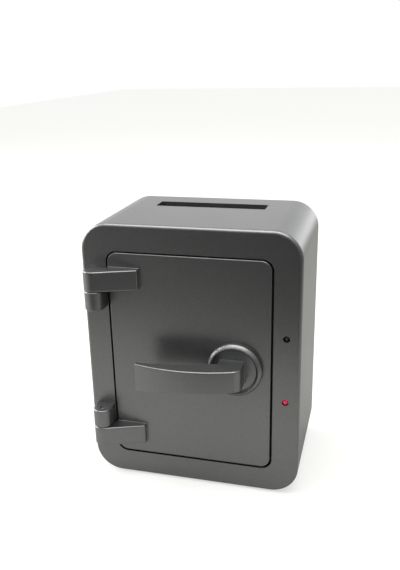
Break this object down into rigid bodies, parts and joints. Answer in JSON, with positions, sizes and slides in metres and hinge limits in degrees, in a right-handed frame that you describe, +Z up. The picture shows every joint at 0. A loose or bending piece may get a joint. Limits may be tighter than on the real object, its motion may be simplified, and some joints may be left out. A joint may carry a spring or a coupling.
{
  "type": "smart safe",
  "caption": "Small upright safe with rounded corners, a left-hinged door with a turning lever, a sliding bolt and a top slot for a phone that unlocks it.",
  "frame": {"origin": "middle of the whole object's box in X and Y, at the underside of the feet", "axes": "+Z up, +X to the right and +Y to the back seen from the door, so the door faces -Y"},
  "size_m": [0.132, 0.1078, 0.1675],
  "materials": {
    "case_paint": "satin metallic grey paint on moulded plastic",
    "black_plastic": "fine moulded texture",
    "steel": "bright zinc plate",
    "clear_plastic": "clear moulded plastic",
    "circuit_board": "green solder mask",
    "chip_black": "moulded",
    "capacitor_sleeve": "shrink sleeve",
    "white_plastic": "moulded",
    "cell_wrap": "printed foil without print",
    "foot_rubber": "matte",
    "lamp_unlit": "dark tinted lens",
    "lamp_red": "lit red lens",
    "coil_tape": "wound tape"
  },
  "bodies": {
    "case": {"outer_shell": "case_paint", "inner_liner": "black_plastic", "liner_tub": "black_plastic", "liner_screws": "steel", "rear_cover": "case_paint", "rear_cover_screws": "steel", "phone_pocket": "black_plastic", "pocket_screws": "steel", "sensor_window": "clear_plastic", "light_sensor": "clear_plastic", "sensor_board": "circuit_board", "sensor_screws": "steel", "main_board": "circuit_board", "board_screws": "steel", "board_chips": "chip_black", "board_capacitors": "capacitor_sleeve", "board_connectors": "white_plastic", "battery_tray": "black_plastic", "battery_1": "cell_wrap", "battery_2": "cell_wrap", "battery_3": "cell_wrap", "battery_4": "cell_wrap", "battery_contacts": "steel", "battery_cover": "case_paint", "battery_cover_screw": "steel", "power_switch": "black_plastic", "foot_front_left": "foot_rubber", "foot_front_right": "foot_rubber", "foot_rear_left": "foot_rubber", "foot_rear_right": "foot_rubber", "upper_lamp": "lamp_unlit", "lower_lamp": "lamp_red", "lamp_boards": "circuit_board", "bolt_keeper": "steel", "keeper_screws": "steel", "solenoid_frame": "steel", "solenoid_coil": "coil_tape", "solenoid_screws": "steel", "upper_knuckle": "case_paint", "lower_knuckle": "case_paint", "knuckle_screws": "steel", "upper_hinge_pin": "steel", "lower_hinge_pin": "steel"},
    "door": {"upper_strap": "case_paint", "lower_strap": "case_paint", "strap_screws": "steel", "door_panel": "case_paint", "door_tray": "black_plastic", "tray_screws": "steel", "guide_inner": "white_plastic", "guide_outer": "white_plastic", "guide_screws": "steel", "round_plate": "case_paint"},
    "lever": {"lever_handle": "case_paint", "lever_spindle": "steel", "lever_crank": "steel", "crank_screw": "steel"},
    "bolt": {"lock_bolt": "steel"},
    "plunger": {"solenoid_plunger": "steel"},
    "knob": {"switch_knob": "white_plastic"}
  },
  "joints": [
    {"name": "door_swing", "type": "hinge", "parent": "case", "child": "door", "pos_m": [-0.0566, -0.0365, 0.0833], "axis": [0, 0, -1], "range_deg": [0, 110]},
    {"name": "lever_turn", "type": "hinge", "parent": "door", "child": "lever", "pos_m": [0.0275, -0.0303, 0.0829], "axis": [0, -1, 0], "range_deg": [0, 60]},
    {"name": "bolt_slide", "type": "slide", "parent": "door", "child": "bolt", "axis": [1, 0, 0], "range_m": [0, 0.0126]},
    {"name": "plunger_slide", "type": "slide", "parent": "case", "child": "plunger", "axis": [0, 0, -1], "range_m": [0, 0.0045]},
    {"name": "switch_slide", "type": "slide", "parent": "case", "child": "knob", "axis": [1, 0, 0], "range_m": [0, 0.004]}
  ],
  "couplings": [
    {"joint": "bolt_slide", "follows": "lever_turn", "m_per_rad": 0.012032}
  ]
}
